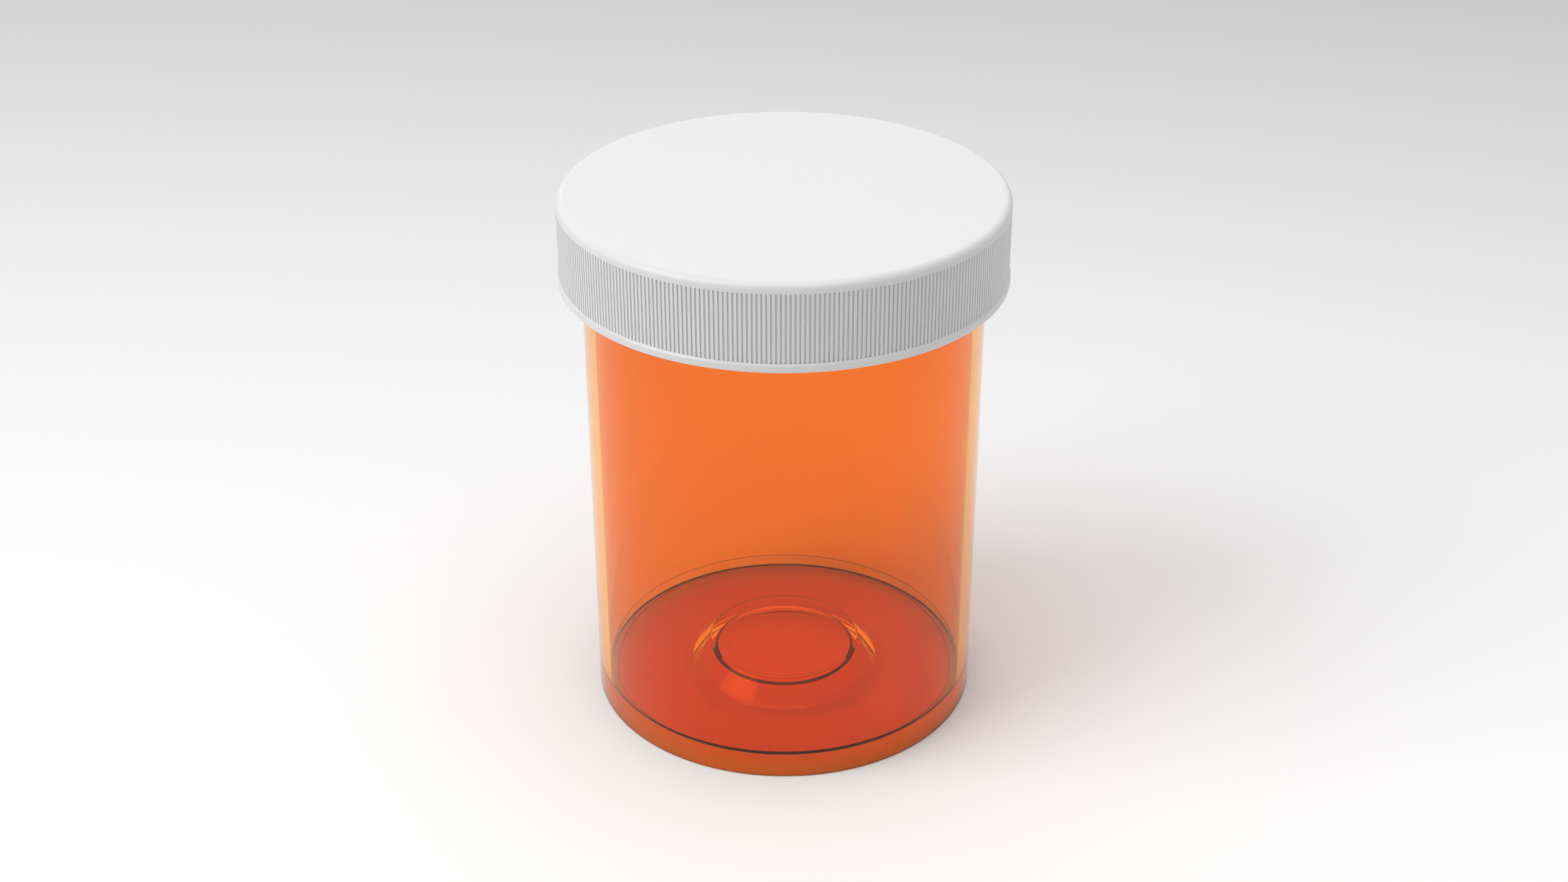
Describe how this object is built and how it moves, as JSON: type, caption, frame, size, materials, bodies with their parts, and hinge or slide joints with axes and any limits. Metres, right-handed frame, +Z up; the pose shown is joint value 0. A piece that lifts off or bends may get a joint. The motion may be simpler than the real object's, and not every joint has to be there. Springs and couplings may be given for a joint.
{
  "type": "prescription vial",
  "caption": "Amber see-through vial with a raised centre in its floor and a white finely grooved push-and-turn screw closure of inner cap, liner and outer shell.",
  "frame": {"origin": "on the vial's axis, in the plane that the vial stands on", "axes": "+Z up along the vial's axis, towards the closure; -Y faces the viewer; the body is round, so X and Y are free"},
  "size_m": [0.0558, 0.0558, 0.0696],
  "materials": {
    "amber_plastic": "clear, smooth, orange-amber",
    "liner_foam": "fine closed-cell foam",
    "natural_plastic": "natural, slightly cloudy, satin",
    "white_plastic": "white, fine satin"
  },
  "bodies": {
    "vial": {"vial_body": "amber_plastic"},
    "liner": {"liner": "liner_foam"},
    "inner_cap": {"inner_cap": "natural_plastic"},
    "shell": {"outer_shell": "white_plastic"}
  },
  "joints": [
    {"name": "cap_lift", "type": "slide", "parent": "vial", "child": "liner", "axis": [0, 0, 1], "range_m": [0, 0.0127]},
    {"name": "cap_turn", "type": "hinge", "parent": "liner", "child": "inner_cap", "pos_m": [0, 0, 0.0647], "axis": [0, 0, 1], "range_deg": [0, 1440]},
    {"name": "press_down", "type": "slide", "parent": "inner_cap", "child": "shell", "axis": [0, 0, 1], "range_m": [-0.0009, 0], "stiffness_N_per_m": 20000}
  ],
  "couplings": [
    {"joint": "cap_lift", "follows": "cap_turn", "m_per_rad": 0.00050531}
  ]
}
